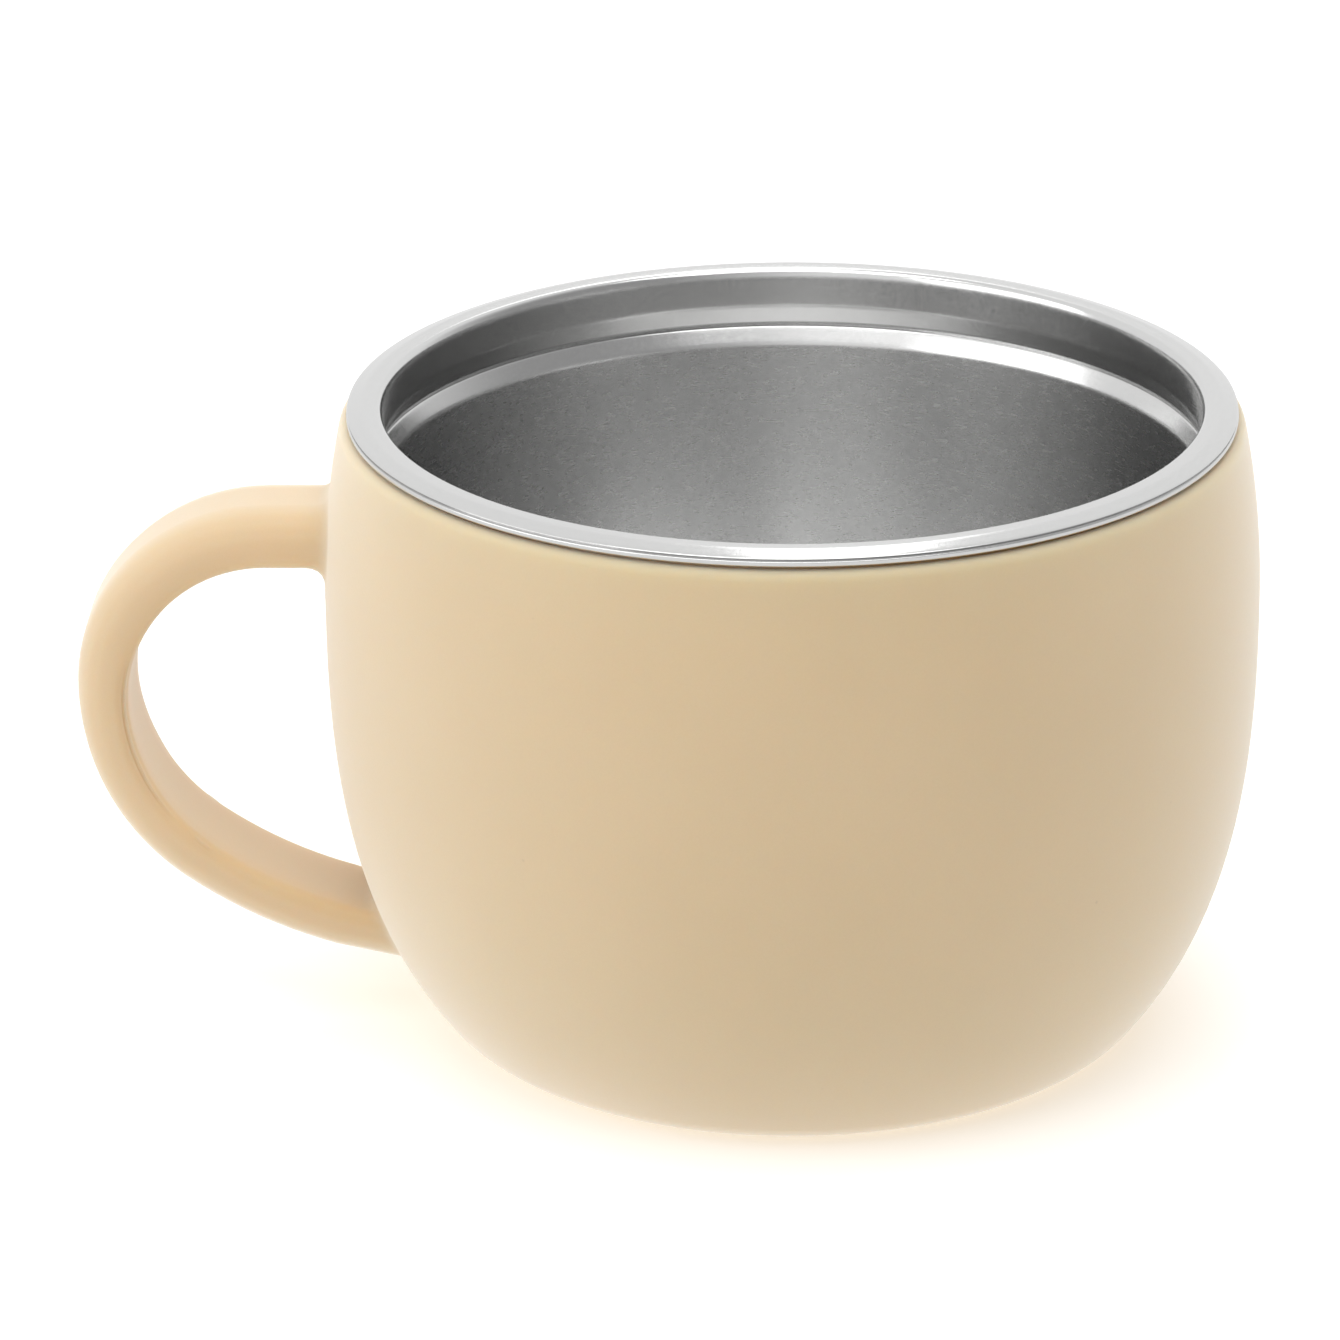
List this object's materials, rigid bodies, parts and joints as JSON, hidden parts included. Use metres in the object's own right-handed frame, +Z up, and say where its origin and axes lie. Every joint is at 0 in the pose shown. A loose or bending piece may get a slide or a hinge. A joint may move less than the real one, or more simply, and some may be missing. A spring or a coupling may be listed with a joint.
{
  "type": "insulated training cup",
  "caption": "Small round insulated training cup: double-wall steel bowl with rolled rim and lid groove, standing in a soft silicone sleeve with a strap handle.",
  "frame": {"origin": "middle of the flat base, on the cup's axis", "axes": "+Z up along the cup's axis, -X towards the handle"},
  "size_m": [0.114, 0.09, 0.0625],
  "materials": {
    "beige_silicone": "matte moulded silicone with a fine velvety surface",
    "liner_steel": "fine horizontal brushing inside, polished rim and lip",
    "shell_steel": "satin drawn sheet",
    "seal_glass": "dark fused sealing glass",
    "getter_alloy": "matte pressed powder pill"
  },
  "bodies": {
    "sleeve": {"silicone_sleeve": "beige_silicone"},
    "steel_cup": {"inner_liner": "liner_steel", "outer_shell": "shell_steel", "shell_base": "shell_steel", "vacuum_seal": "seal_glass", "getter": "getter_alloy"}
  },
  "joints": [
    {"name": "cup_lift", "type": "slide", "parent": "sleeve", "child": "steel_cup", "axis": [0, 0, 1], "range_m": [0, 0.065]}
  ]
}
